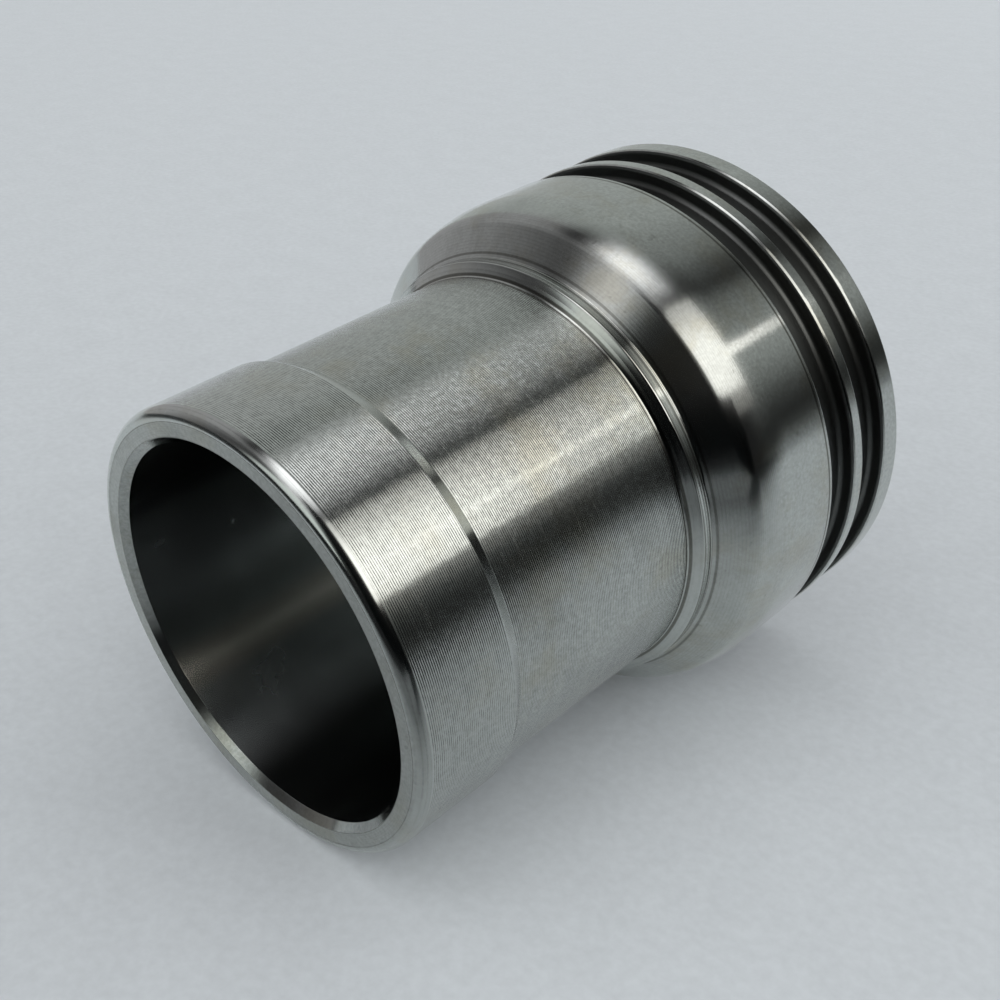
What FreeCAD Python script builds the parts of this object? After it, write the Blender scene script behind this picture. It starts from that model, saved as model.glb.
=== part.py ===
import FreeCAD, Part
import math
import os

# Injector sleeve: one turned solid, nose end on Z = 0, head upwards, axis on Z.
# All sizes are in millimetres and degrees.

# Diameters
bore_d = 35.0
tube_d = 40.0
nose_land_d = 41.1
collar_d = 42.3
bell_shoulder_d = 48.4
head_d = 49.8
groove_floor_d = 46.8
head_bore_d = 43.0

# Lengths along the axis, from the nose to the head face
nose_land_length = 9.95
nose_step_length = 1.1
tube_length = 21.05
collar_length = 1.15
head_land_length = 7.7
groove_width = 3.55
rib_width = 1.45
lip_width = 2.4

# How far past the tube the conical seat starts, which keeps the wall of the bell even
seat_setback = 2.65

# Slopes, measured from the axis
collar_ramp_angle = 57.0
bell_cone_angle = 51.0
bell_crown_angle = 15.0
seat_cone_angle = 45.0
mouth_lead_angle = 30.0

# Edges and fillets
nose_chamfer = 0.65
nose_radius = 1.05
turned_edge_radius = 0.12
neck_fillet_radius = 0.3
bell_shoulder_radius = 2.3
bell_crown_radius = 14.0
groove_floor_radius = 0.5
groove_edge_radius = 0.15
seal_lead_radius = 0.4
lip_edge_radius = 0.2
seat_fillet_radius = 1.0
head_bore_fillet_radius = 0.6
mouth_lead_width = 0.8

# Most of a side's length that the arcs at its two ends may take together
side_use = 0.98


def rise(from_d, to_d, angle):
    """Axial length of a cone that runs between two diameters at an angle to the axis."""
    return abs(to_d - from_d) / 2 / math.tan(math.radians(angle))


# Heights that follow from the sizes above
nose_land_end = nose_land_length
tube_start = nose_land_end + nose_step_length
tube_end = tube_start + tube_length
collar_start = tube_end + rise(tube_d, collar_d, collar_ramp_angle)
collar_end = collar_start + collar_length
bell_shoulder_z = collar_end + rise(collar_d, bell_shoulder_d, bell_cone_angle)
bell_crown_z = bell_shoulder_z + rise(bell_shoulder_d, head_d, bell_crown_angle)
first_groove_start = bell_crown_z + head_land_length
rib_start = first_groove_start + groove_width
second_groove_start = rib_start + rib_width
lip_start = second_groove_start + groove_width
head_face_z = lip_start + lip_width
seat_start = tube_end + seat_setback
head_bore_start = seat_start + rise(bore_d, head_bore_d, seat_cone_angle)


def corner(diameter, z, radius=0.0):
    """A corner of the half section: its place and the radius that rounds it."""
    return FreeCAD.Vector(diameter / 2, 0, z), radius


def nose_outline():
    """Nose face, its rounded outer corner and the slightly larger land behind it."""
    return [
        corner(bore_d, nose_chamfer),
        corner(bore_d + 2 * nose_chamfer, 0),
        corner(nose_land_d, 0, nose_radius),
        corner(nose_land_d, nose_land_end, turned_edge_radius),
        corner(tube_d, tube_start, turned_edge_radius),
    ]


def neck_outline():
    """Ramp up from the tube to the collar at the foot of the bell."""
    return [
        corner(tube_d, tube_end, neck_fillet_radius),
        corner(collar_d, collar_start, turned_edge_radius),
        corner(collar_d, collar_end, neck_fillet_radius),
    ]


def bell_outline():
    """Steep cone, tight shoulder and long crown that blend into the head."""
    return [
        corner(bell_shoulder_d, bell_shoulder_z, bell_shoulder_radius),
        corner(head_d, bell_crown_z, bell_crown_radius),
    ]


def groove_outline(start):
    """One seal groove, with the far edge rounded as a lead for the ring."""
    end = start + groove_width
    return [
        corner(head_d, start, groove_edge_radius),
        corner(groove_floor_d, start, groove_floor_radius),
        corner(groove_floor_d, end, groove_floor_radius),
        corner(head_d, end, seal_lead_radius),
    ]


def head_face_outline():
    """Lip at the head end and the lead into the head bore."""
    lead_depth = mouth_lead_width / math.tan(math.radians(mouth_lead_angle))
    return [
        corner(head_d, head_face_z, lip_edge_radius),
        corner(head_bore_d + 2 * mouth_lead_width, head_face_z),
        corner(head_bore_d, head_face_z - lead_depth),
    ]


def inner_outline():
    """Head bore, conical seat and the long bore, going down to the nose."""
    return [
        corner(head_bore_d, head_bore_start, head_bore_fillet_radius),
        corner(bore_d, seat_start, seat_fillet_radius),
    ]


def half_angle(corners, index):
    """Half of the angle between the two sides that meet at a corner."""
    point = corners[index][0]
    to_previous = corners[index - 1][0] - point
    to_next = corners[(index + 1) % len(corners)][0] - point
    return to_previous.getAngle(to_next) / 2


def tangent_lengths(corners):
    """How much of its two sides each corner's arc takes, kept within the length of those sides."""
    points = [point for point, radius in corners]
    radii = [radius for point, radius in corners]
    wanted = [radius / math.tan(half_angle(corners, index)) for index, radius in enumerate(radii)]
    lengths = []
    for index, length in enumerate(wanted):
        share = 1.0
        for neighbour in (index - 1, (index + 1) % len(corners)):
            room = points[index].distanceToPoint(points[neighbour]) * side_use
            if length + wanted[neighbour] > room:
                share = min(share, room / (length + wanted[neighbour]))
        lengths.append(length * share)
    return lengths


def rounded_wire(corners):
    """Closed wire through the corners, each rounded by an arc tangent to its two sides."""
    edges = []
    ends = []
    for index, tangent_length in enumerate(tangent_lengths(corners)):
        point = corners[index][0]
        if tangent_length == 0:
            ends.append((point, point))
            continue
        to_previous = (corners[index - 1][0] - point).normalize()
        to_next = (corners[(index + 1) % len(corners)][0] - point).normalize()
        angle = half_angle(corners, index)
        radius = tangent_length * math.tan(angle)
        middle = point + (to_previous + to_next).normalize() * (radius / math.sin(angle) - radius)
        start = point + to_previous * tangent_length
        end = point + to_next * tangent_length
        edges.append(Part.Arc(start, middle, end).toShape())
        ends.append((start, end))
    for index, (start, end) in enumerate(ends):
        edges.append(Part.LineSegment(ends[index - 1][1], start).toShape())
    return Part.Wire(Part.__sortEdges__(edges))


def sleeve():
    """The whole sleeve, turned about Z."""
    corners = (
        nose_outline()
        + neck_outline()
        + bell_outline()
        + groove_outline(first_groove_start)
        + groove_outline(second_groove_start)
        + head_face_outline()
        + inner_outline()
    )
    section = Part.Face(rounded_wire(corners))
    return section.revolve(FreeCAD.Vector(0, 0, 0), FreeCAD.Vector(0, 0, 1), 360)


os.makedirs("parts", exist_ok=True)
sleeve().exportStep("parts/sleeve.step")
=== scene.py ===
import math
from dataclasses import dataclass
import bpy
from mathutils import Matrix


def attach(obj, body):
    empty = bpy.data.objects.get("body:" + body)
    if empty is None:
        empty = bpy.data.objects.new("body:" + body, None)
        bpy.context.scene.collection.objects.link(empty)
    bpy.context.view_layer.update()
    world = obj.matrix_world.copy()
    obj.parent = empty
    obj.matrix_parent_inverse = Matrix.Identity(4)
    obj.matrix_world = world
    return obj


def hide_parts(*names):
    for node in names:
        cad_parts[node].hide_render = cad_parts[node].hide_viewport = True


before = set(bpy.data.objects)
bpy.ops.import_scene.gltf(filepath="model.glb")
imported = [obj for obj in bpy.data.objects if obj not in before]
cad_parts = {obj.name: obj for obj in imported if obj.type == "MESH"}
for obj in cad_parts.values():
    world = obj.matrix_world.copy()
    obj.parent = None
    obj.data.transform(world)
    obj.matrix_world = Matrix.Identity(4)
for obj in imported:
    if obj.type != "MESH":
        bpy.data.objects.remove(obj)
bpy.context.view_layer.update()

from types import SimpleNamespace

import bpy
import numpy as np
from bpy.props import FloatProperty, FloatVectorProperty, IntProperty, PointerProperty
from mathutils import Matrix, Vector

bl_info = {
    "name": "Injector Sleeve",
    "version": (1, 0, 0),
    "blender": (4, 5, 0),
    "location": "3D View > Sidebar > Sleeve",
    "description": "Builds a turned steel injector sleeve and the studio that it is shown in",
    "category": "Object",
}

MM = 0.001


# ---------------------------------------------------------------------------
# Sizes, finishes and studio values that a user may change
# ---------------------------------------------------------------------------

def length_property(name, millimetres, description):
    return FloatProperty(
        name=name,
        description=description,
        default=millimetres * MM,
        min=0.0,
        unit="LENGTH",
        subtype="DISTANCE",
        precision=5,
    )


def angle_property(name, degrees, description):
    return FloatProperty(
        name=name,
        description=description,
        default=math.radians(degrees),
        unit="ROTATION",
        subtype="ANGLE",
    )


def factor_property(name, value, description, highest=1.0):
    return FloatProperty(
        name=name, description=description, default=value, min=0.0, max=highest, subtype="FACTOR"
    )


def colour_property(name, value, description):
    return FloatVectorProperty(
        name=name, description=description, default=value, min=0.0, max=1.0, size=3, subtype="COLOR"
    )


class SleeveSizes(bpy.types.PropertyGroup):
    """Sizes of the half section, from the nose end up to the head face."""

    bore_d: length_property("Bore", 35.0, "Diameter of the long bore")
    tube_d: length_property("Tube", 40.0, "Outer diameter of the plain tube")
    nose_land_d: length_property("Nose land", 41.1, "Diameter of the land behind the nose")
    collar_d: length_property("Collar", 42.3, "Diameter of the collar at the foot of the bell")
    bell_shoulder_d: length_property("Bell shoulder", 48.4, "Diameter where the bell's cone ends")
    head_d: length_property("Head", 49.8, "Outer diameter of the head")
    groove_floor_d: length_property("Groove floor", 46.8, "Diameter at the bottom of the seal grooves")
    head_bore_d: length_property("Head bore", 43.0, "Diameter of the wide bore in the head")
    nose_land_length: length_property("Nose land length", 9.95, "From the nose end to the step")
    nose_step_length: length_property("Step length", 1.1, "Length of the cone down to the tube")
    tube_length: length_property("Tube length", 21.05, "Length of the plain tube")
    collar_length: length_property("Collar length", 1.15, "Length of the collar")
    head_land_length: length_property("Head land length", 7.7, "From the bell to the first groove")
    groove_width: length_property("Groove width", 3.55, "Width of a seal groove")
    rib_width: length_property("Rib width", 1.45, "Width of the rib between the grooves")
    lip_width: length_property("Lip width", 2.4, "Width of the lip at the head face")
    seat_setback: length_property("Seat setback", 2.65, "From the end of the tube to the conical seat")
    nose_chamfer: length_property("Bore chamfer", 0.65, "Width of the chamfer in the bore's mouth")
    nose_radius: length_property("Nose rounding", 1.05, "Radius of the nose's outer corner")
    bell_shoulder_radius: length_property("Shoulder radius", 2.3, "Radius between cone and crown")
    bell_crown_radius: length_property("Crown radius", 14.0, "Radius between crown and head")
    collar_ramp_angle: angle_property("Collar ramp", 57.0, "Slope of the ramp up to the collar")
    bell_cone_angle: angle_property("Bell cone", 51.0, "Slope of the bell's cone")
    bell_crown_angle: angle_property("Bell crown", 15.0, "Slope of the bell's crown")
    seat_cone_angle: angle_property("Seat cone", 45.0, "Slope of the conical seat inside")
    mouth_lead_angle: angle_property("Mouth lead", 30.0, "Slope of the lead into the head bore")
    around: IntProperty(
        name="Segments", description="Number of faces round the sleeve", default=360, min=48, max=720
    )


class SleeveFinish(bpy.types.PropertyGroup):
    """Colour of the steel, the tint of the painted light and shade in the bore, and the marks that turning
    left on it.
    """

    steel: colour_property("Steel", (0.465, 0.487, 0.465), "Colour of the turned steel")
    # Tint of the painted light and shade in the bore's bands
    bore_light_tint: colour_property("Bore painted light", (0.93, 1.0, 0.97), "Tint of the bands in the bore")
    feed: length_property("Feed", 0.2, "Distance between neighbouring turning marks")
    head_feed: length_property("Head feed", 0.5, "Distance between the faint marks on the head")
    collar_feed: length_property("Collar feed", 0.3, "Distance between the marks on the collar")
    mark_depth: length_property("Mark depth", 0.012, "Depth of the turning marks")


class SleeveStudio(bpy.types.PropertyGroup):
    """Background and light."""

    background: colour_property("Background", (0.58, 0.616, 0.642), "Colour of the surface and the floor")
    room: factor_property("Room", 1.0, "Brightness of the room and its softboxes", 10.0)
    top_light: factor_property("Top light", 0.9, "Brightness of the round light over the sleeve", 10.0)
    turn: angle_property("Turn", -112.5, "Angle at which the whole studio is turned about the sleeve")


# ---------------------------------------------------------------------------
# Half section
# ---------------------------------------------------------------------------

EDGE_BREAK = 0.06 * MM
TURNED_EDGE = 0.12 * MM
NECK_FILLET = 0.3 * MM
GROOVE_FLOOR_RADIUS = 0.5 * MM
GROOVE_EDGE_RADIUS = 0.15 * MM
SEAL_LEAD_RADIUS = 0.4 * MM
LIP_EDGE_RADIUS = 0.2 * MM
SEAT_FILLET = 1.0 * MM
HEAD_BORE_FILLET = 0.6 * MM
MOUTH_LEAD_WIDTH = 0.8 * MM

# Most of a side's length that the arcs at its two ends may take together
SIDE_USE = 0.98

# How far an arc may bulge past its steps, how few steps it has, and the longest step on a straight side
ARC_SAG = 0.002 * MM
FEWEST_ARC_STEPS = 3
LONGEST_SIDE = 1.2 * MM


def rise(from_d, to_d, angle):
    """Axial length of a cone between two diameters."""
    return abs(to_d - from_d) / 2 / math.tan(angle)


def outside_heights(s):
    """Heights at which the outside changes, from the nose up to the first groove."""
    tube_start = s.nose_land_length + s.nose_step_length
    tube_end = tube_start + s.tube_length
    collar_start = tube_end + rise(s.tube_d, s.collar_d, s.collar_ramp_angle)
    collar_end = collar_start + s.collar_length
    shoulder = collar_end + rise(s.collar_d, s.bell_shoulder_d, s.bell_cone_angle)
    crown = shoulder + rise(s.bell_shoulder_d, s.head_d, s.bell_crown_angle)
    return SimpleNamespace(
        tube_start=tube_start,
        tube_end=tube_end,
        collar_start=collar_start,
        collar_end=collar_end,
        shoulder=shoulder,
        crown=crown,
        groove=crown + s.head_land_length,
    )


@dataclass
class Corner:
    """Corner of the half section, with the finish of the side after it and, if another, of its rounding."""

    diameter: float
    height: float
    radius: float
    finish: str
    rounding_finish: str = ""

    @property
    def place(self):
        return self.diameter / 2, self.height


def section_corners(s):
    """Corners of the half section, up the outside from the nose and down the inside."""
    z = outside_heights(s)
    corners = [
        Corner(s.bore_d, s.nose_chamfer, EDGE_BREAK, "chamfer"),
        Corner(s.bore_d + 2 * s.nose_chamfer, 0.0, EDGE_BREAK, "faces"),
        Corner(s.nose_land_d, 0.0, s.nose_radius, "land", "rounding"),
        Corner(s.nose_land_d, s.nose_land_length, TURNED_EDGE, "edges"),
        Corner(s.tube_d, z.tube_start, TURNED_EDGE, "tube"),
        Corner(s.tube_d, z.tube_end, NECK_FILLET, "collar"),
        Corner(s.collar_d, z.collar_start, TURNED_EDGE, "collar"),
        Corner(s.collar_d, z.collar_end, NECK_FILLET, "bell"),
        Corner(s.bell_shoulder_d, z.shoulder, s.bell_shoulder_radius, "bell"),
        Corner(s.head_d, z.crown, s.bell_crown_radius, "head"),
    ]
    start = z.groove
    for gap_after in (s.rib_width, s.lip_width):
        end = start + s.groove_width
        corners += [
            Corner(s.head_d, start, GROOVE_EDGE_RADIUS, "grooves"),
            Corner(s.groove_floor_d, start, GROOVE_FLOOR_RADIUS, "grooves"),
            Corner(s.groove_floor_d, end, GROOVE_FLOOR_RADIUS, "grooves"),
            Corner(s.head_d, end, SEAL_LEAD_RADIUS, "head"),
        ]
        start = end + gap_after
    seat = z.tube_end + s.seat_setback
    head_bore_start = seat + rise(s.bore_d, s.head_bore_d, s.seat_cone_angle)
    corners += [
        Corner(s.head_d, start, LIP_EDGE_RADIUS, "faces"),
        Corner(s.head_bore_d + 2 * MOUTH_LEAD_WIDTH, start, EDGE_BREAK, "edges"),
        Corner(s.head_bore_d, start - MOUTH_LEAD_WIDTH / math.tan(s.mouth_lead_angle), EDGE_BREAK, "bore"),
        Corner(s.head_bore_d, head_bore_start, HEAD_BORE_FILLET, "bore"),
        Corner(s.bore_d, seat, SEAT_FILLET, "bore"),
    ]
    return corners


def corner_geometry(points):
    """Unit vectors from each corner to its neighbours, and half the angle between them."""
    to_previous = np.roll(points, 1, axis=0) - points
    to_next = np.roll(points, -1, axis=0) - points
    sides = np.linalg.norm(to_next, axis=1)
    to_previous /= np.linalg.norm(to_previous, axis=1)[:, None]
    to_next /= sides[:, None]
    half = np.arccos(np.clip((to_previous * to_next).sum(axis=1), -1, 1)) / 2
    return to_previous, to_next, half, sides


def rounded_section(corners):
    """Points of the rounded half section, each with its outward normal and the finish of the side after it."""
    points = np.array([corner.place for corner in corners])
    radii = np.array([corner.radius for corner in corners])
    finishes = [corner.finish for corner in corners]
    to_previous, to_next, half, sides = corner_geometry(points)
    wanted = radii / np.tan(half)
    room_after = sides * SIDE_USE / np.maximum(wanted + np.roll(wanted, -1), 1e-12)
    share = np.minimum(1.0, np.minimum(room_after, np.roll(room_after, 1)))
    tangent = wanted * share
    rows = []
    count = len(corners)
    for index in range(count):
        start = points[index] + to_previous[index] * tangent[index]
        end = points[index] + to_next[index] * tangent[index]
        radius = tangent[index] * math.tan(half[index])
        bisector = to_previous[index] + to_next[index]
        bisector /= np.linalg.norm(bisector)
        centre = points[index] + bisector * radius / math.sin(half[index])
        first, last = start - centre, end - centre
        turn = first[0] * last[1] - first[1] * last[0]
        sweep = math.atan2(turn, first @ last)
        outward = 1.0 if turn > 0 else -1.0
        steps = max(FEWEST_ARC_STEPS, math.ceil(abs(sweep) / (2 * math.acos(1 - ARC_SAG / radius))))
        for step in range(steps + 1):
            angle = sweep * step / steps
            c, w = math.cos(angle), math.sin(angle)
            spoke = np.array((first[0] * c - first[1] * w, first[0] * w + first[1] * c))
            finish = finishes[index - 1] if step < steps // 2 else finishes[index]
            if corners[index].rounding_finish and step < steps:
                finish = corners[index].rounding_finish
            rows.append((centre + spoke, outward * spoke / radius, finish))
        following = (index + 1) % count
        far = points[following] + to_previous[following] * tangent[following]
        pieces = math.ceil(np.linalg.norm(far - end) / LONGEST_SIDE)
        for piece in range(1, pieces):
            rows.append((end + (far - end) * piece / pieces, rows[-1][1], finishes[index]))
    return rows


# ---------------------------------------------------------------------------
# Turned piece
# ---------------------------------------------------------------------------

# Tints of the steel where it is soiled or under a ring of painted shade, in the painted shade at the bottom of
# a turning
# # mark, where it is stained, and in the bore's brown painted reflection
SOIL_AND_SHADE_TINT = np.array((0.30, 0.29, 0.27))
MARK_PAINTED_SHADE = np.array((0.12, 0.12, 0.12))
STAIN_TINT = np.array((0.80, 0.74, 0.62))
REFLECTED_BROWN_TINT = np.array((1.0, 0.97, 0.86))

# Painted light and shade round the bore, in bands that lie where the light falls in the studio: angle in the
# # studio frame in degrees, brightness and whether the band is a brown painted reflection
BORE_PAINTED_LIGHT = (
    (150, 0.08, 0), (190, 0.15, 0), (200, 0.33, 0), (210, 0.55, 0), (217, 0.62, 0), (224, 0.45, 0),
    (228, 0.60, 1), (232, 0.95, 1), (236, 0.70, 1), (241, 0.64, 0), (249, 0.66, 0), (256, 0.72, 0),
    (263, 0.52, 0), (272, 0.44, 0), (281, 0.36, 0), (289, 0.12, 0),
)

# Order of the material slots
FINISHES = (
    "rounding", "land", "tube", "edges", "collar", "bell", "head", "grooves", "faces", "chamfer", "bore",
)


def turned_mesh(name, rows, around):
    """Closed mesh of the half section turned about Z, with exact normals and each face's material index by
    finish.
    """
    rings = len(rows)
    angles = np.arange(around) * 2 * math.pi / around
    spokes = np.stack([np.cos(angles), np.sin(angles)], axis=1)
    places = np.array([place for place, _, _ in rows])
    normals = np.array([normal for _, normal, _ in rows])

    def swept(section):
        ring = np.empty((rings, around, 3))
        ring[..., :2] = section[:, None, 0:1] * spokes[None]
        ring[..., 2] = section[:, None, 1]
        return ring.reshape(-1, 3)

    ring = np.arange(rings)[:, None]
    segment = np.arange(around)[None]
    next_ring = (ring + 1) % rings
    next_segment = (segment + 1) % around
    quads = np.stack(
        [
            ring * around + segment,
            ring * around + next_segment,
            next_ring * around + next_segment,
            next_ring * around + segment,
        ],
        axis=-1,
    ).reshape(-1, 4)
    mesh = bpy.data.meshes.new(name)
    mesh.from_pydata(swept(places).tolist(), [], quads.tolist())
    finish_of_ring = np.array([FINISHES.index(finish) for _, _, finish in rows])
    mesh.polygons.foreach_set("material_index", np.repeat(finish_of_ring, around).astype(np.int32))
    mesh.polygons.foreach_set("use_smooth", np.ones(len(quads), dtype=bool))
    mesh.normals_split_custom_set_from_vertices(swept(normals).tolist())
    lengths = np.concatenate([[0.0], np.cumsum(np.linalg.norm(np.diff(places, axis=0), axis=1))])
    closing = np.linalg.norm(places[0] - places[-1])
    along = np.append(lengths, lengths[-1] + closing)
    unwrapped = mesh.uv_layers.new(name="unwrapped")
    u = np.stack([segment, segment + 1, segment + 1, segment], axis=-1) / around
    v = np.stack([along[:-1], along[:-1], along[1:], along[1:]], axis=-1)[:, None, :]
    coordinates = np.stack(np.broadcast_arrays(u, v), axis=-1).reshape(-1)
    unwrapped.data.foreach_set("uv", coordinates.astype(np.float32))
    mesh.validate()
    return mesh


# ---------------------------------------------------------------------------
# Shader building
# ---------------------------------------------------------------------------

class Tree:
    """Short calls for adding nodes to a tree and linking them."""

    def __init__(self, tree):
        self.tree = tree

    def node(self, kind, inputs=None, **settings):
        made = self.tree.nodes.new(kind)
        for key, value in settings.items():
            setattr(made, key, value)
        for key, value in (inputs or {}).items():
            self.feed(made.inputs[key], value)
        return made

    def feed(self, socket, value):
        if isinstance(value, bpy.types.NodeSocket):
            self.tree.links.new(value, socket)
        else:
            socket.default_value = value

    def math(self, operation, *values, clamp=False):
        made = self.node("ShaderNodeMath", dict(enumerate(values)), operation=operation)
        made.use_clamp = clamp
        return made.outputs[0]

    def remap(self, value, low, high, to_low=0.0, to_high=1.0, smooth=False):
        made = self.node(
            "ShaderNodeMapRange",
            {"Value": value, "From Min": low, "From Max": high, "To Min": to_low, "To Max": to_high},
        )
        if smooth:
            made.interpolation_type = "SMOOTHSTEP"
        return made.outputs["Result"]

    def mix(self, factor, first, second):
        made = self.node("ShaderNodeMix", {0: factor, 6: first, 7: second}, data_type="RGBA")
        return made.outputs[2]

    def blend(self, factor, first, second):
        made = self.node("ShaderNodeMix", {0: factor, 2: first, 3: second}, data_type="FLOAT")
        return made.outputs[0]

    def tinted(self, value):
        return self.node("ShaderNodeCombineColor", {0: value, 1: value, 2: value}).outputs[0]

    def noise(self, vector, scale, detail=2.0, roughness=0.5):
        made = self.node(
            "ShaderNodeTexNoise",
            {"Vector": vector, "Scale": scale, "Detail": detail, "Roughness": roughness},
        )
        return made.outputs["Fac"]

    def vector(self, x, y, z):
        return self.node("ShaderNodeCombineXYZ", {0: x, 1: y, 2: z}).outputs[0]

    def group(self, group, named):
        made = self.tree.nodes.new("ShaderNodeGroup")
        made.node_tree = group
        for key, value in named.items():
            self.feed(made.inputs[key], value)
        return made.outputs

    def ramp(self, factor, stops):
        made = self.node("ShaderNodeValToRGB", {"Fac": factor})
        elements = made.color_ramp.elements
        while len(elements) < len(stops):
            elements.new(0.5)
        while len(elements) > len(stops):
            elements.remove(elements[-1])
        for element, (position, colour) in zip(elements, stops):
            element.position = position
            element.color = (*colour, 1.0)
        return made.outputs["Color"]


def new_group(name, inputs, outputs):
    """Empty shader group with named sockets: the group, its tree helper, its inputs and its results."""
    group = bpy.data.node_groups.new(name, "ShaderNodeTree")
    for label, kind, value in inputs:
        socket = group.interface.new_socket(name=label, in_out="INPUT", socket_type=kind)
        if value is not None:
            socket.default_value = value
    for label, kind in outputs:
        group.interface.new_socket(name=label, in_out="OUTPUT", socket_type=kind)
    tree = Tree(group)
    return group, tree, tree.node("NodeGroupInput").outputs, tree.node("NodeGroupOutput").inputs


def turning_place_group():
    """Where a point is: along the axis and out from it in millimetres, and round it in turns."""
    group, tree, _, results = new_group(
        "turning_place",
        [],
        [("Along", "NodeSocketFloat"), ("Out", "NodeSocketFloat"), ("Turns", "NodeSocketFloat"),
         ("Place", "NodeSocketVector")],
    )
    place = tree.node("ShaderNodeTexCoord").outputs["Object"]
    scaled = tree.node("ShaderNodeVectorMath", {0: place, "Scale": 1 / MM}, operation="SCALE").outputs[0]
    parts = tree.node("ShaderNodeSeparateXYZ", {0: scaled}).outputs
    flat = tree.node("ShaderNodeVectorMath", {0: tree.vector(parts[0], parts[1], 0.0)}, operation="LENGTH")
    angle = tree.math("ARCTAN2", parts[1], parts[0])
    tree.feed(results["Along"], parts[2])
    tree.feed(results["Out"], flat.outputs["Value"])
    tree.feed(results["Turns"], tree.math("DIVIDE", angle, 2 * math.pi))
    tree.feed(results["Place"], scaled)
    return group


def feed_marks_group():
    """Height, from 0 to about 1, of scalloped turning marks that wind round the sleeve."""
    group, tree, given, results = new_group(
        "feed_marks",
        [("Travel", "NodeSocketFloat", 0.0), ("Turns", "NodeSocketFloat", 0.0),
         ("Feed", "NodeSocketFloat", 0.2), ("Unevenness", "NodeSocketFloat", 0.3)],
        [("Height", "NodeSocketFloat")],
    )
    count = tree.math("ADD", tree.math("DIVIDE", given["Travel"], given["Feed"]), given["Turns"])
    part = tree.math("FRACT", count)
    line = tree.math("FLOOR", count)
    centred = tree.math("SUBTRACT", part, 0.5)
    scallop = tree.math("MULTIPLY", tree.math("MULTIPLY", centred, centred), 4.0)
    chance = tree.node("ShaderNodeTexWhiteNoise", {"W": line}, noise_dimensions="1D").outputs["Value"]
    uneven = tree.math("MULTIPLY", tree.math("SUBTRACT", chance, 0.5), given["Unevenness"])
    tree.feed(results["Height"], tree.math("MULTIPLY", scallop, tree.math("ADD", uneven, 1.0)))
    return group


def fine_lines_group():
    """Height of fine irregular lines round the sleeve, from 0 to 1."""
    group, tree, given, results = new_group(
        "fine_lines",
        [("Travel", "NodeSocketFloat", 0.0), ("Turns", "NodeSocketFloat", 0.0),
         ("Spacing", "NodeSocketFloat", 0.1), ("Waver", "NodeSocketFloat", 1.2)],
        [("Lines", "NodeSocketFloat")],
    )
    across = tree.math("DIVIDE", given["Travel"], given["Spacing"])
    angle = tree.math("MULTIPLY", given["Turns"], 2 * math.pi)
    round_x = tree.math("MULTIPLY", tree.math("COSINE", angle), given["Waver"])
    round_y = tree.math("MULTIPLY", tree.math("SINE", angle), given["Waver"])
    tree.feed(results["Lines"], tree.noise(tree.vector(round_x, round_y, across), 1.0, 1.0, 0.6))
    return group


# Moves the stains' noise, in millimetres, so that stains and smudges fall in different places
STAIN_SHIFT = (31.0, 17.0, 5.0)


def handling_group():
    """Smudges, stains, specks and a fine mottle left by cutting and handling, as masks from 0 to 1."""
    group, tree, given, results = new_group(
        "handling",
        [("Place", "NodeSocketVector", None), ("Smudge Size", "NodeSocketFloat", 9.0),
         ("Speck Size", "NodeSocketFloat", 0.9), ("Mottle Size", "NodeSocketFloat", 0.35)],
        [("Smudges", "NodeSocketFloat"), ("Stains", "NodeSocketFloat"),
         ("Specks", "NodeSocketFloat"), ("Mottle", "NodeSocketFloat")],
    )
    moved = tree.node("ShaderNodeVectorMath", {0: given["Place"], 1: STAIN_SHIFT}, operation="ADD").outputs[0]
    patches = tree.noise(moved, tree.math("DIVIDE", 1.3, given["Smudge Size"]), 5.0, 0.65)
    cloud = tree.noise(given["Place"], tree.math("DIVIDE", 1.0, given["Smudge Size"]), 3.0, 0.6)
    dots = tree.noise(given["Place"], tree.math("DIVIDE", 1.0, given["Speck Size"]), 1.0, 0.4)
    mottle = tree.noise(given["Place"], tree.math("DIVIDE", 1.0, given["Mottle Size"]), 2.0, 0.6)
    tree.feed(results["Smudges"], tree.remap(cloud, 0.45, 0.75, smooth=True))
    tree.feed(results["Stains"], tree.remap(patches, 0.47, 0.68, smooth=True))
    tree.feed(results["Specks"], tree.remap(dots, 0.72, 0.8, smooth=True))
    tree.feed(results["Mottle"], tree.remap(mottle, 0.25, 0.75))
    return group


def painted_ring_group():
    """Thin ring of painted shade at one place of the travel, as a mask between 0 and 1."""
    group, tree, given, results = new_group(
        "painted_ring",
        [("Travel", "NodeSocketFloat", 0.0), ("At", "NodeSocketFloat", 0.0),
         ("Half Width", "NodeSocketFloat", 0.05)],
        [("Ring", "NodeSocketFloat")],
    )
    away = tree.math("ABSOLUTE", tree.math("SUBTRACT", given["Travel"], given["At"]))
    near = tree.math("SUBTRACT", 2.0, tree.math("DIVIDE", away, given["Half Width"]), clamp=True)
    tree.feed(results["Ring"], near)
    return group


# Spacing of the fine lines in millimetres, and how far up a turning mark's flank the painted shade at its
# bottom reaches
LINE_SPACING = 0.12
MARK_FLANK = (0.15, 0.85)

# Noise that breaks up the painted shade of the marks: its scale per millimetre and its reach
BREAK_SCALE = 1.6
BREAK_RANGE = (0.38, 0.62)
LEAST_MARK = 0.35

# Depth of the finest lines
FINE = 0.0003 * MM

# What a full smudge adds to the roughness, and the turn that stretches highlights across the marks
SMUDGE_ROUGHNESS = 0.03
QUARTER_TURN = 0.25


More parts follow.
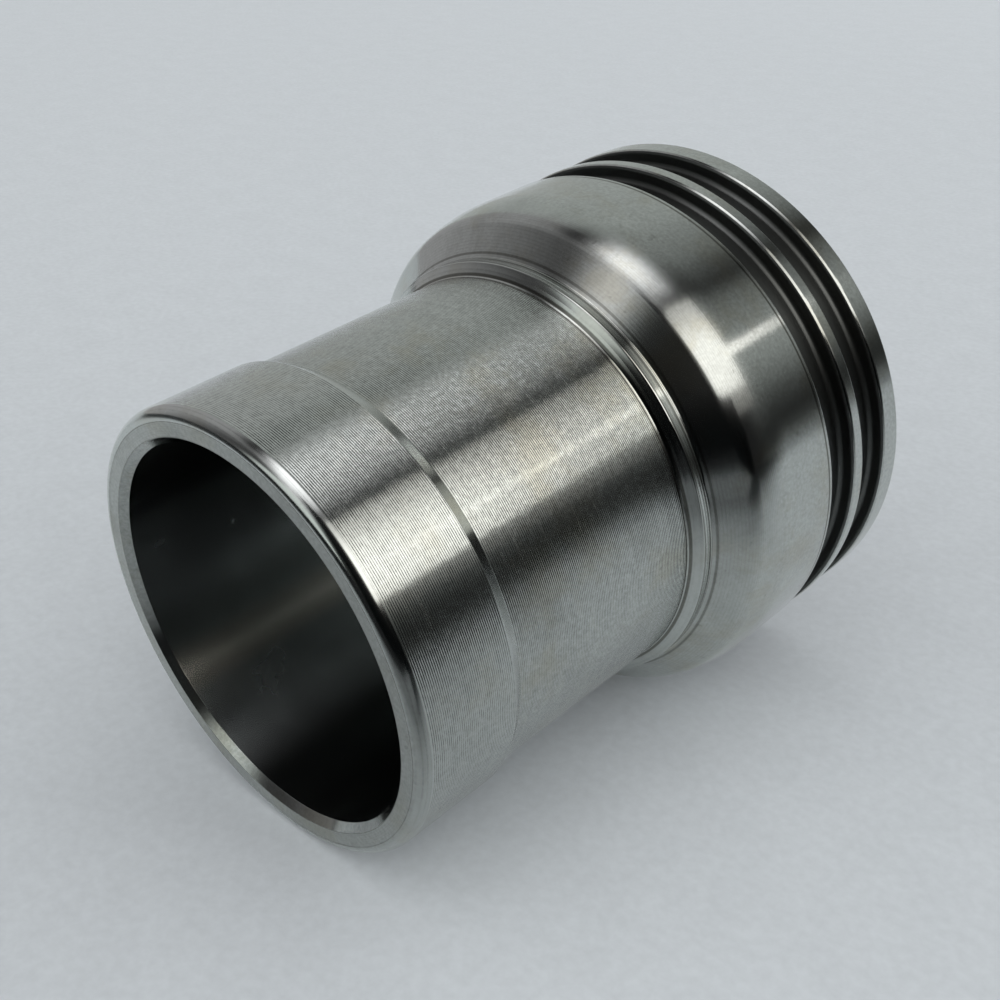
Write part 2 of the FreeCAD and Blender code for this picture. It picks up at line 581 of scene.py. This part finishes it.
class SteelFinishes:
    """Builds the materials of the sleeve, one for each way in which its surface was cut."""

    def __init__(self, finish, sizes, turn):
        self.finish = finish
        self.sizes = sizes
        self.turn = turn
        self.place = turning_place_group()
        self.marks = feed_marks_group()
        self.lines = fine_lines_group()
        self.handling = handling_group()
        self.ring = painted_ring_group()

    def cut_normal(self, tree, place, travel, feed, depth, line_depth):
        """Normal of the turning marks and fine lines, and how far each point is in the painted shade at a
        mark's bottom.
        """
        where = {"Travel": place[travel], "Turns": place["Turns"]}
        marks = tree.group(self.marks, {**where, "Feed": feed / MM})
        lines = tree.group(self.lines, {**where, "Spacing": LINE_SPACING})
        fine = tree.node("ShaderNodeBump", {"Strength": 1.0, "Distance": line_depth, "Height": lines["Lines"]})
        bump = tree.node(
            "ShaderNodeBump",
            {"Strength": 1.0, "Distance": depth, "Height": marks["Height"], "Normal": fine.outputs[0]},
        )
        patches = tree.noise(place["Place"], BREAK_SCALE, 3.0, 0.7)
        broken = tree.remap(patches, *BREAK_RANGE, LEAST_MARK, 1.0, smooth=True)
        dark = tree.remap(marks["Height"], *MARK_FLANK, smooth=True)
        return bump.outputs[0], tree.math("MULTIPLY", dark, broken)

    def material(
        self, name, travel="Along", feed=0.2 * MM, depth=0.0, lines=0.0, roughness=0.15, anisotropy=0.5,
        mark_painted_shade=0.1, shade=1.0, mottle=0.12, smudge=0.1, stain=0.3, rings=(), around=None,
    ):
        """Turned steel with marks every feed, cut Along the axis or Out from it, with soil, painted shade in
        the bottoms of the marks, and rings of painted shade.
        """
        made = bpy.data.materials.new(name)
        made.use_nodes = True
        tree = Tree(made.node_tree)
        made.node_tree.nodes.clear()
        place = tree.group(self.place, {})
        handling = tree.group(self.handling, {"Place": place["Place"]})
        steel = np.array(self.finish.steel) * shade
        colour = (*steel, 1.0)
        # A ramp round the sleeve replaces the colour; the bore uses it for painted light and shade
        if around:
            colour = tree.ramp(tree.math("ADD", place["Turns"], 0.5), around)
        inputs = {
            "Metallic": 1.0,
            "Roughness": tree.math("MULTIPLY_ADD", handling["Smudges"], SMUDGE_ROUGHNESS, roughness),
            "Anisotropic": anisotropy,
            "Anisotropic Rotation": QUARTER_TURN,
        }
        if depth or lines:
            inputs["Normal"], painted_mark_dark = self.cut_normal(tree, place, travel, feed, depth, lines)
            # Painted shade: the bottom of each turning mark is painted darker
            colour = tree.mix(tree.math("MULTIPLY", painted_mark_dark, mark_painted_shade), colour, (*(steel * MARK_PAINTED_SHADE), 1.0))
        stained = tree.math("MULTIPLY", handling["Stains"], stain)
        colour = tree.mix(stained, colour, (*(steel * STAIN_TINT), 1.0))
        dark = tree.math("MULTIPLY", handling["Mottle"], mottle)
        dark = tree.math("MULTIPLY_ADD", handling["Smudges"], smudge, dark)
        dark = tree.math("MULTIPLY_ADD", handling["Specks"], smudge, dark)
        # Rings of painted shade darken the colour towards the soil tint
        for at, half_width, darkness in rings:
            ring_place = {"Travel": place[travel], "At": at / MM, "Half Width": half_width}
            ring = tree.group(self.ring, ring_place)["Ring"]
            dark = tree.math("MULTIPLY_ADD", ring, darkness, dark, clamp=True)
        # Soil, random mottle and the rings' painted shade share one dark tint
        inputs["Base Color"] = tree.mix(dark, colour, (*(steel * SOIL_AND_SHADE_TINT), 1.0))
        shader = tree.node("ShaderNodeBsdfPrincipled", inputs)
        tree.node("ShaderNodeOutputMaterial", {"Surface": shader.outputs[0]})
        return made

    def painted_bore_light(self):
        """Painted light and shade round the bore, turned with the studio, as its bands lie where the light
        fell.
        """
        tint = np.array(self.finish.bore_light_tint)
        return [
            ((angle + math.degrees(self.turn)) / 360 + 0.5, tuple(level * (REFLECTED_BROWN_TINT if brown else tint)))
            for angle, level, brown in BORE_PAINTED_LIGHT
        ]

    def rings(self):
        """Rings of painted shade, which split highlights near edges and fillets into lines, for each finish
        that has them:
        place, half width in millimetres and darkness.
        """
        sizes = self.sizes
        z = outside_heights(sizes)
        return {
            "faces": (
                (sizes.bore_d / 2 + sizes.nose_chamfer, 0.04, 0.5),
                (sizes.nose_land_d / 2 - sizes.nose_radius, 0.04, 0.6),
            ),
            "tube": ((z.tube_end - 0.22 * MM, 0.07, 0.8),),
            "collar": (
                (z.tube_end + 0.12 * MM, 0.06, 0.9),
                (z.collar_start + 0.15 * MM, 0.05, 0.6),
                (z.collar_end - 0.3 * MM, 0.07, 0.7),
                (z.collar_end, 0.05, 0.9),
            ),
            "bell": ((z.collar_end + 0.3 * MM, 0.05, 0.6),),
            "head": ((z.groove - 0.48 * MM, 0.07, 0.9),),
        }

    def all(self):
        """Materials by finish. Marks and lines are depths; the mark shade is how dark the painted shade at a
        mark's bottom is.
        """
        depth, feed = self.finish.mark_depth, self.finish.feed
        rings = self.rings()
        return {
            "rounding": self.material(
                "nose_rounding", feed=1.5 * feed, depth=0.15 * depth, lines=FINE, mark_painted_shade=0.2, shade=1.1,
                mottle=0.1,
            ),
            "land": self.material(
                "turned_land", feed=feed, depth=depth, lines=FINE, roughness=0.17, anisotropy=0.85,
                mark_painted_shade=0.9, shade=1.2, mottle=0.25,
            ),
            "tube": self.material(
                "turned_tube", feed=feed, depth=depth, lines=2 * FINE, roughness=0.17, anisotropy=0.85,
                mark_painted_shade=0.8, shade=1.16, mottle=0.4, smudge=0.2, stain=0.5, rings=rings["tube"],
            ),
            "edges": self.material("turned_edges", roughness=0.14, mottle=0.2),
            "collar": self.material(
                "turned_collar", feed=self.finish.collar_feed, depth=0.4 * depth, lines=FINE, roughness=0.14,
                shade=1.1, rings=rings["collar"],
            ),
            "bell": self.material(
                "smooth_bell", feed=feed, depth=0.08 * depth, lines=FINE, roughness=0.16, anisotropy=0.6,
                mark_painted_shade=0.15, shade=1.03, mottle=0.2, smudge=0.25, stain=0.6, rings=rings["bell"],
            ),
            "head": self.material(
                "turned_head", feed=self.finish.head_feed, depth=0.03 * depth, lines=3 * FINE, anisotropy=0.6,
                mark_painted_shade=0.04, shade=1.05, mottle=0.35, smudge=0.2, stain=0.5, rings=rings["head"],
            ),
            # Painted shade: the grooves' steel is painted far darker than the rest, for the shade in these
            # recesses
            "grooves": self.material(
                "turned_grooves", feed=feed, depth=0.05 * depth, lines=FINE, roughness=0.35, anisotropy=0.3,
                shade=0.2, stain=0.0,
            ),
            "faces": self.material(
                "faced_steel", "Out", feed=feed, depth=0.2 * depth, lines=2 * FINE, roughness=0.36,
                mark_painted_shade=0.15, shade=1.1, mottle=0.4, smudge=0.25, stain=0.4, rings=rings["faces"],
            ),
            "chamfer": self.material("turned_chamfer", roughness=0.12, shade=0.9, mottle=0.4, stain=0.5),
            # The bore's colour is painted light and shade in bands round it, as the light falls in the studio
            "bore": self.material(
                "bored_steel", feed=feed, depth=0.02 * depth, roughness=0.25, anisotropy=0.8, mark_painted_shade=0.05,
                mottle=0.0, smudge=0.0, stain=0.0, around=self.painted_bore_light(),
            ),
        }


# ---------------------------------------------------------------------------
# Operators
# ---------------------------------------------------------------------------

class OBJECT_OT_injector_sleeve(bpy.types.Operator):
    """Add the turned steel sleeve"""

    bl_idname = "object.injector_sleeve"
    bl_label = "Injector Sleeve"

    def execute(self, context):
        scene = context.scene
        rows = rounded_section(section_corners(scene.sleeve_sizes))
        mesh = turned_mesh("sleeve_steel", rows, scene.sleeve_sizes.around)
        finishes = SteelFinishes(scene.sleeve_finish, scene.sleeve_sizes, scene.sleeve_studio.turn)
        materials = finishes.all()
        for finish in FINISHES:
            mesh.materials.append(materials[finish])
        sleeve = bpy.data.objects.new("sleeve_steel", mesh)
        scene.collection.objects.link(sleeve)
        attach(sleeve, "root")
        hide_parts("sleeve")
        return {"FINISHED"}


# ---------------------------------------------------------------------------
# Studio values, in the studio frame: X points straight away from the surface that the sleeve lies against,
# Y to its side, and Z along the sleeve. The whole frame is turned about Z by the studio's turn.
# ---------------------------------------------------------------------------

# Camera: its place, its directions to the right, up and back, its lens and sensor in millimetres, and how near
# and how far it sees in metres
CAMERA_PLACE = Vector((67.877, 80.679, -46.444)) * MM
CAMERA_RIGHT = Vector((-0.0742350, 0.7155228, 0.6946339))
CAMERA_UP = Vector((0.8456598, -0.3240048, 0.4241232))
CAMERA_BACK = CAMERA_RIGHT.cross(CAMERA_UP)
CAMERA_LENS = 49.845
CAMERA_SENSOR = 36.0
CAMERA_CLIP = (0.001, 20.0)

# Surface that the sleeve lies against, the floor just under the sleeve, and how far both reach
SURFACE_TILT = math.radians(6.15)
SURFACE_OFFSET = 20.45 * MM
FLOOR_GAP = 0.2 * MM
STUDIO_REACH = 1.2

# Blotches and grain of the surface: scale of the noise, its detail, and the darkest and the brightest tone
BLOTCHES = (160.0, 3.0, 0.98, 1.02)
GRAIN = (900.0, 2.0, 0.965, 1.035)

# Painted light and shade on the surface, which only the steel's reflections see: how bright the steel sees the
# # surface. It darkens lensward, at an angle to the surface's own X, and again far out. Below the sleeve's
# nose a dim
# # patch is left, which ends further down.
SURFACE_GLOW = 1.15
SHADE_ANGLE = math.radians(50)
SHADE_NEAR = (-26 * MM, 80 * MM)
SHADE_LEVEL = 0.06
SHADE_FAR = (180 * MM, 450 * MM)
FAR_LEVEL = 0.4
PATCH_TOP = (-22 * MM, -8 * MM)
PATCH_LEVEL = 0.32
SHADE_BELOW = (-78 * MM, -48 * MM)
BELOW_LEVEL = 0.1

# Half the angle that the top light fills, seen from the sleeve
TOP_LIGHT_ANGLE = math.radians(28)

# Light that reaches only what is matt: its level, the side that it is brightest on, and its least
AMBIENT_LIGHT = 0.92
AMBIENT_SIDE = Vector((0.0, 0.8, -0.6))
LEAST_AMBIENT = 0.05

# Room: pairs of angle about the sleeve in degrees and brightness. The rows run from low to high latitudes.
ROOM_UNDER = (
    (-180, 0.40), (-75, 0.9), (-15, 1.1), (0, 0.7), (9, 0.2), (20, 0.03), (90, 0.03), (120, 0.25),
)
ROOM_LOW = (
    (-180, 0.30), (-60, 0.09), (-36, 0.06), (-27, 0.2), (-19, 0.9), (-9, 1.35), (-2, 1.1), (5, 0.5),
    (11, 0.15), (18, 0.06), (22, 0.02), (99, 0.02), (120, 0.15),
)
ROOM_BESIDE = (
    (-180, 0.45), (-57, 0.46), (-42, 0.45), (-36, 0.40), (-31, 0.25), (-27, 0.1), (-23, 0.03),
    (-19, 0.08), (-16, 0.3), (-13, 0.8), (-11, 1.3), (-6, 2.2), (0, 2.35), (6, 2.05), (11, 1.6),
    (15, 1.1), (18, 0.6), (20, 0.15), (65, 0.05), (72, 0.02), (99, 0.02), (108, 0.1),
)
ROOM_BEYOND = (
    (-180, 0.50), (-57, 0.56), (-27, 0.57), (-21, 0.51), (-15, 0.43), (-9, 0.38), (-3, 0.32), (3, 0.26),
    (9, 0.14), (15, 0.07), (20, 0.04), (24, 0.12), (27, 0.20), (33, 0.28), (45, 0.40), (57, 0.46),
    (63, 0.35), (69, 0.24), (75, 0.12), (81, 0.06), (87, 0.03), (93, 0.05), (99, 0.25), (106, 0.46),
    (180, 0.50),
)

# Latitudes in degrees at which one row goes over into the next
UNDER_FADE = (-50.0, -58.0)
LOW_FADE = (-12.0, -42.0)
BEYOND_FADE = (20.0, 28.0)
CEILING_FADE = (64.0, 82.0)

# Light of the ceiling, and the tints of the room, its long softbox and the near lights
CEILING_LIGHT = (0.18, 0.18, 0.18)
ROOM_TINT = (0.95, 1.0, 0.985)
SOFTBOX_TINT = (0.98, 0.965, 1.0)
LAMP_TINT = (1.0, 0.97, 0.94)

# Near softbox: the direction in which it stands, its reach, its extents sideways and along the sleeve, and its
# brightness across and up. Sideways counts towards smaller angles about the sleeve.
PANEL_ANGLE = math.radians(43.5)
PANEL_REACH = 95 * MM
PANEL_SIDES = (-31.5 * MM, 28.5 * MM)
PANEL_HEIGHTS = (-32 * MM, 82 * MM)
PANEL_ACROSS = ((0.0, 1.85), (0.15, 2.2), (0.5, 2.2), (0.62, 2.0), (0.78, 1.4), (0.88, 1.1), (1.0, 0.9))
PANEL_UP = ((0.0, 0.03), (0.04, 0.12), (0.08, 0.35), (0.13, 0.75), (0.18, 1.0))

# Narrow strip light over the near softbox, and a dim reflector at its side
STRIP_SIDES = (-13.2 * MM, -6.6 * MM)
STRIP_HEIGHTS = (82 * MM, 127 * MM)
STRIP_ACROSS = ((0.0, 2.1),)
REFLECTOR_SIDES = (-47 * MM, -31.5 * MM)
REFLECTOR_HEIGHTS = (54 * MM, 86 * MM)
REFLECTOR_ACROSS = ((0.0, 0.3), (1.0, 0.7))
EVEN = ((0.0, 1.0),)

# Black cards: colour and roughness, how far behind the lens they are, and for each its place to the right of
# the lens and above it, its width and its height
CARD_COLOUR = (0.004, 0.005, 0.0055, 1.0)
CARD_ROUGHNESS = 0.8
CARD_SETBACK = 4 * MM
CARDS = (
    ("lens_card", 65 * MM, -42 * MM, 280 * MM, 88 * MM),
    ("upper_card", -30 * MM, 30 * MM, 65 * MM, 64 * MM),
)


def studio_matrix(turn, right, up, place):
    """World matrix of something that is placed in the studio frame and looks along its own -Z."""
    back = right.cross(up)
    local = Matrix((right, up, back)).transposed().to_4x4()
    local.translation = place
    return Matrix.Rotation(turn, 4, "Z") @ local


def level_stops(levels, tint=(1.0, 1.0, 1.0)):
    """Colour ramp stops from pairs of place and brightness."""
    return [(place, tuple(level * part for part in tint)) for place, level in levels]


def room_stops(levels, tint=(1.0, 1.0, 1.0)):
    """Colour ramp stops from pairs of angle in degrees and brightness."""
    return level_stops([(angle / 360 + 0.5, level) for angle, level in levels], tint)


class SCENE_OT_sleeve_studio(bpy.types.Operator):
    """Add the surface, the floor, the lights, the cards and the camera"""

    bl_idname = "scene.sleeve_studio"
    bl_label = "Sleeve Studio"

    def execute(self, context):
        scene = context.scene
        studio = scene.sleeve_studio
        self.backdrop(scene, studio)
        self.top_light(scene, studio)
        self.surroundings(scene, studio)
        self.near_softbox(scene, studio)
        self.cards(scene, studio)
        self.camera(scene, studio)
        scene.view_settings.view_transform = "Standard"
        return {"FINISHED"}

    def plane(self, scene, name, reach, material, size=(1.0, 1.0)):
        """Rectangle of the stage, which reaches this far times its size to each side of its middle."""
        x, y = reach * size[0], reach * size[1]
        mesh = bpy.data.meshes.new(name)
        mesh.from_pydata([(-x, -y, 0.0), (x, -y, 0.0), (x, y, 0.0), (-x, y, 0.0)], [], [(0, 1, 2, 3)])
        mesh.materials.append(material)
        made = bpy.data.objects.new(name, mesh)
        scene.collection.objects.link(made)
        return made

    def backdrop_material(self, name, colour, reflected):
        """Matt surface that is there only from its front. Unless it is reflected, only the camera sees it."""
        made = bpy.data.materials.new(name)
        made.use_nodes = True
        made.node_tree.nodes.clear()
        tree = Tree(made.node_tree)
        there = tree.math("SUBTRACT", 1.0, tree.node("ShaderNodeNewGeometry").outputs["Backfacing"])
        light_path = tree.node("ShaderNodeLightPath").outputs
        place = tree.node("ShaderNodeTexCoord").outputs["Object"]
        tones = [
            tree.remap(tree.noise(place, scale, detail, 0.6), 0.3, 0.7, darkest, brightest)
            for scale, detail, darkest, brightest in (BLOTCHES, GRAIN)
        ]
        tone = tree.math("MULTIPLY", *tones)
        if reflected:
            # Painted shade on the surface that only the steel's reflections see
            painted_reflected_shade = self.reflected_level(tree, place)
            tone = tree.math("MULTIPLY", tone, tree.blend(light_path["Is Glossy Ray"], 1.0, painted_reflected_shade))
        else:
            there = tree.math("MULTIPLY", there, light_path["Is Camera Ray"])
        paper = tree.node("ShaderNodeVectorMath", {0: colour, "Scale": tone}, operation="SCALE").outputs[0]
        matt = tree.node("ShaderNodeBsdfDiffuse", {"Color": paper})
        clear = tree.node("ShaderNodeBsdfTransparent")
        shader = tree.node("ShaderNodeMixShader", {0: there, 1: clear.outputs[0], 2: matt.outputs[0]})
        tree.node("ShaderNodeOutputMaterial", {"Surface": shader.outputs[0]})
        return made

    def reflected_level(self, tree, place):
        """Painted light and shade of the surface as the steel sees it: the brightness of each place in
        reflections.
        """
        parts = tree.node("ShaderNodeSeparateXYZ", {0: place}).outputs
        lensward = tree.math(
            "SUBTRACT",
            tree.math("MULTIPLY", parts[0], math.cos(SHADE_ANGLE)),
            tree.math("MULTIPLY", parts[1], math.sin(SHADE_ANGLE)),
        )
        level = tree.remap(lensward, *SHADE_NEAR, SURFACE_GLOW, SHADE_LEVEL, smooth=True)
        far = tree.remap(parts[0], *SHADE_FAR, 1.0, FAR_LEVEL, smooth=True)
        patch = tree.remap(parts[1], *PATCH_TOP, PATCH_LEVEL, 0.0, smooth=True)
        level = tree.math("MAXIMUM", tree.math("MULTIPLY", level, far), patch)
        below = tree.remap(parts[1], *SHADE_BELOW, BELOW_LEVEL, 1.0, smooth=True)
        return tree.math("MULTIPLY", level, below)

    def backdrop(self, scene, studio):
        """Surface that the sleeve lies against in the photograph, and the floor that it stands on."""
        normal = Vector((math.cos(SURFACE_TILT), 0.0, math.sin(SURFACE_TILT)))
        side = Vector((0.0, 1.0, 0.0))
        lying = studio_matrix(studio.turn, side, normal.cross(side), -normal * SURFACE_OFFSET)
        colour = tuple(studio.background)
        reflected = self.backdrop_material("pale_surface", colour, True)
        surface = self.plane(scene, "lying_surface", STUDIO_REACH, reflected)
        surface.matrix_world = lying
        floor = self.plane(scene, "floor", STUDIO_REACH, self.backdrop_material("pale_floor", colour, False))
        floor.location.z = -FLOOR_GAP

    def top_light(self, scene, studio):
        """Round light over the sleeve, which lights what is matt and isn't reflected."""
        top = Matrix.Translation((0.0, 0.0, STUDIO_REACH))
        size = 2 * math.tan(TOP_LIGHT_ANGLE) * STUDIO_REACH
        lamp = bpy.data.lights.new("top_light", "AREA")
        lamp.shape = "DISK"
        lamp.size = size
        lamp.energy = studio.top_light * math.pi * (math.pi / 4 * size**2)
        made = bpy.data.objects.new("top_light", lamp)
        scene.collection.objects.link(made)
        made.matrix_world = top
        made.visible_camera = False
        made.visible_glossy = False

    def surroundings(self, scene, studio):
        """Grey room with a long softbox. Its light changes with angle about the sleeve and latitude."""
        world = bpy.data.worlds.new("grey_room")
        scene.world = world
        world.use_nodes = True
        world.node_tree.nodes.clear()
        tree = Tree(world.node_tree)
        direction = tree.node("ShaderNodeTexCoord").outputs["Generated"]
        parts = tree.node("ShaderNodeSeparateXYZ", {0: direction}).outputs
        angle = tree.math("SUBTRACT", tree.math("ARCTAN2", parts[1], parts[0]), studio.turn)
        turns = tree.math("FRACT", tree.math("MULTIPLY_ADD", angle, 1 / (2 * math.pi), 0.5))
        latitude = tree.math("MULTIPLY", tree.math("ARCSINE", parts[2]), 180 / math.pi)
        light = tree.ramp(turns, room_stops(ROOM_BESIDE, SOFTBOX_TINT))
        low = tree.ramp(turns, room_stops(ROOM_LOW, SOFTBOX_TINT))
        light = tree.mix(tree.remap(latitude, *LOW_FADE), light, low)
        under = tree.ramp(turns, room_stops(ROOM_UNDER, ROOM_TINT))
        light = tree.mix(tree.remap(latitude, *UNDER_FADE, smooth=True), light, under)
        beyond = tree.ramp(turns, room_stops(ROOM_BEYOND, ROOM_TINT))
        light = tree.mix(tree.remap(latitude, *BEYOND_FADE, smooth=True), light, beyond)
        above = tree.remap(latitude, *CEILING_FADE, smooth=True)
        light = tree.mix(above, light, (*CEILING_LIGHT, 1.0))
        light_path = tree.node("ShaderNodeLightPath").outputs
        bounced = tree.math("MINIMUM", light_path["Diffuse Depth"], 1.0)
        brightest = Matrix.Rotation(studio.turn, 3, "Z") @ AMBIENT_SIDE
        sided = tree.node("ShaderNodeVectorMath", {0: direction, 1: brightest}, operation="DOT_PRODUCT")
        ambient = tree.math("MULTIPLY", tree.math("ADD", sided.outputs["Value"], 1.0), AMBIENT_LIGHT)
        light = tree.mix(bounced, light, tree.tinted(tree.math("MAXIMUM", ambient, LEAST_AMBIENT)))
        light = tree.mix(light_path["Is Camera Ray"], light, (*studio.background, 1.0))
        shader = tree.node("ShaderNodeBackground", {"Color": light, "Strength": studio.room})
        tree.node("ShaderNodeOutputWorld", {"Surface": shader.outputs[0]})

    def cards(self, scene, studio):
        """Black cards just behind the lens, which give the steel its dark bands."""
        black = bpy.data.materials.new("black_card")
        black.use_nodes = True
        shader = black.node_tree.nodes["Principled BSDF"]
        shader.inputs["Base Color"].default_value = CARD_COLOUR
        shader.inputs["Roughness"].default_value = CARD_ROUGHNESS
        shader.inputs["Specular IOR Level"].default_value = 0.0
        for name, right, up, width, height in CARDS:
            place = CAMERA_PLACE + CAMERA_BACK * CARD_SETBACK + CAMERA_RIGHT * right + CAMERA_UP * up
            card = self.plane(scene, name, 0.5, black, (width, height))
            card.matrix_world = studio_matrix(studio.turn, CAMERA_RIGHT, CAMERA_UP, place)
            card.visible_camera = False
            card.visible_diffuse = False
            card.visible_shadow = False

    def glowing(self, name, across, upwards, strength):
        """Light that shines from its front only, with a brightness that changes sideways and upwards."""
        made = bpy.data.materials.new(name)
        made.use_nodes = True
        made.node_tree.nodes.clear()
        tree = Tree(made.node_tree)
        place = tree.node("ShaderNodeTexCoord").outputs["Generated"]
        parts = tree.node("ShaderNodeSeparateXYZ", {0: place}).outputs
        sideways = tree.ramp(parts[0], level_stops(across, LAMP_TINT))
        upwards = tree.ramp(parts[1], level_stops(upwards))
        colour = tree.node("ShaderNodeVectorMath", {0: sideways, 1: upwards}, operation="MULTIPLY").outputs[0]
        front = tree.math("SUBTRACT", 1.0, tree.node("ShaderNodeNewGeometry").outputs["Backfacing"])
        strength = tree.math("MULTIPLY", front, strength)
        glow = tree.node("ShaderNodeEmission", {"Color": colour, "Strength": strength})
        tree.node("ShaderNodeOutputMaterial", {"Surface": glow.outputs[0]})
        return made

    def near_softbox(self, scene, studio):
        """Softbox that stands close to the sleeve, with a strip light over it and a reflector at its side."""
        out = Vector((math.cos(PANEL_ANGLE), math.sin(PANEL_ANGLE), 0.0))
        side = Vector((out.y, -out.x, 0.0))
        up = Vector((0.0, 0.0, 1.0))
        parts = (
            ("near_softbox", PANEL_SIDES, PANEL_HEIGHTS, PANEL_ACROSS, PANEL_UP),
            ("strip_light", STRIP_SIDES, STRIP_HEIGHTS, STRIP_ACROSS, EVEN),
            ("side_reflector", REFLECTOR_SIDES, REFLECTOR_HEIGHTS, REFLECTOR_ACROSS, EVEN),
        )
        for name, sides, heights, across, upwards in parts:
            middle = side * sum(sides) / 2 + up * sum(heights) / 2
            size = (sides[1] - sides[0], heights[1] - heights[0])
            made = self.plane(scene, name, 0.5, self.glowing(name, across, upwards, studio.room), size)
            made.matrix_world = studio_matrix(studio.turn, side, up, out * PANEL_REACH + middle)
            made.visible_camera = False
            made.visible_diffuse = False
            made.visible_shadow = False

    def camera(self, scene, studio):
        """Camera at the photograph's viewing angle."""
        lens = bpy.data.cameras.new("camera")
        lens.lens = CAMERA_LENS
        lens.sensor_width = CAMERA_SENSOR
        lens.clip_start, lens.clip_end = CAMERA_CLIP
        made = bpy.data.objects.new("camera", lens)
        scene.collection.objects.link(made)
        made.matrix_world = studio_matrix(studio.turn, CAMERA_RIGHT, CAMERA_UP, CAMERA_PLACE)
        scene.camera = made


# ---------------------------------------------------------------------------
# Panel and registration
# ---------------------------------------------------------------------------

class VIEW3D_PT_injector_sleeve(bpy.types.Panel):
    """Sizes, finish and studio of the injector sleeve"""

    bl_label = "Injector Sleeve"
    bl_space_type = "VIEW_3D"
    bl_region_type = "UI"
    bl_category = "Sleeve"

    def draw(self, context):
        layout = self.layout
        for group in (context.scene.sleeve_sizes, context.scene.sleeve_finish, context.scene.sleeve_studio):
            box = layout.box()
            for name in group.__annotations__:
                box.prop(group, name)
        layout.operator(OBJECT_OT_injector_sleeve.bl_idname)
        layout.operator(SCENE_OT_sleeve_studio.bl_idname)


CLASSES = (
    SleeveSizes,
    SleeveFinish,
    SleeveStudio,
    OBJECT_OT_injector_sleeve,
    SCENE_OT_sleeve_studio,
    VIEW3D_PT_injector_sleeve,
)


def register():
    for made in CLASSES:
        bpy.utils.register_class(made)
    bpy.types.Scene.sleeve_sizes = PointerProperty(type=SleeveSizes)
    bpy.types.Scene.sleeve_finish = PointerProperty(type=SleeveFinish)
    bpy.types.Scene.sleeve_studio = PointerProperty(type=SleeveStudio)


def unregister():
    del bpy.types.Scene.sleeve_studio
    del bpy.types.Scene.sleeve_finish
    del bpy.types.Scene.sleeve_sizes
    for made in reversed(CLASSES):
        bpy.utils.unregister_class(made)


def main():
    register()
    bpy.ops.object.injector_sleeve()
    bpy.ops.scene.sleeve_studio()


if __name__ == "__main__":
    main()
